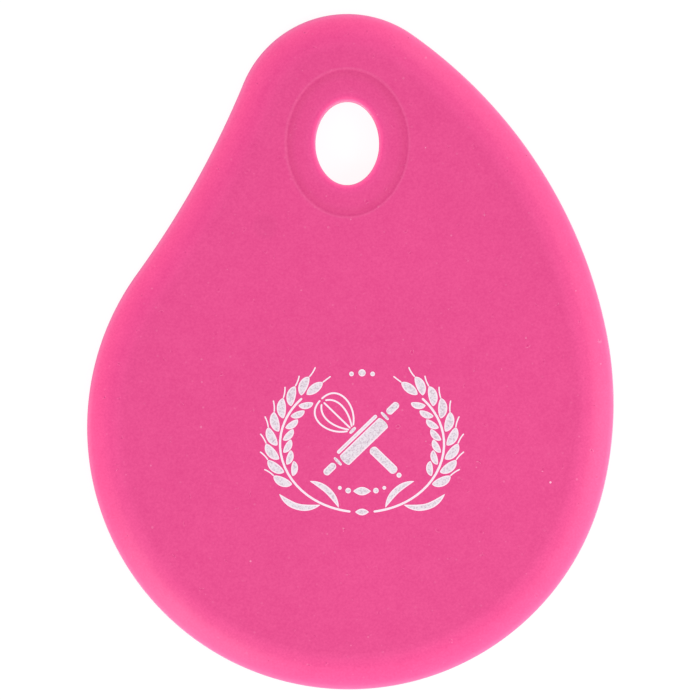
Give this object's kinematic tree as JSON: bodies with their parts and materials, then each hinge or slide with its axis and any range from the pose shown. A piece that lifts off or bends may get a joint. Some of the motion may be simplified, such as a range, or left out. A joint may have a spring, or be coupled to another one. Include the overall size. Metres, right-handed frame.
{
  "type": "bowl scraper",
  "caption": "Drop-shaped silicone bowl scraper over a sheet-steel core, with a rim that thins to a soft scraping edge and an oval hanging hole in a shallow recess.",
  "frame": {"origin": "under the middle of the outline, on the plane that the back of the blade rests on", "axes": "+Z out of the printed front face, +Y along the blade from the broad belly to the nose with the hanging hole, +X to the right as seen from the front"},
  "size_m": [0.0952, 0.122, 0.005],
  "materials": {
    "silicone": "matte moulded silicone, fine grain",
    "spring_steel": "cold-rolled sheet",
    "print_ink": "matte silicone screen-print ink"
  },
  "bodies": {
    "root": {"front_skin": "silicone", "back_skin": "silicone", "stiffener_core": "spring_steel"}
  },
  "joints": []
}
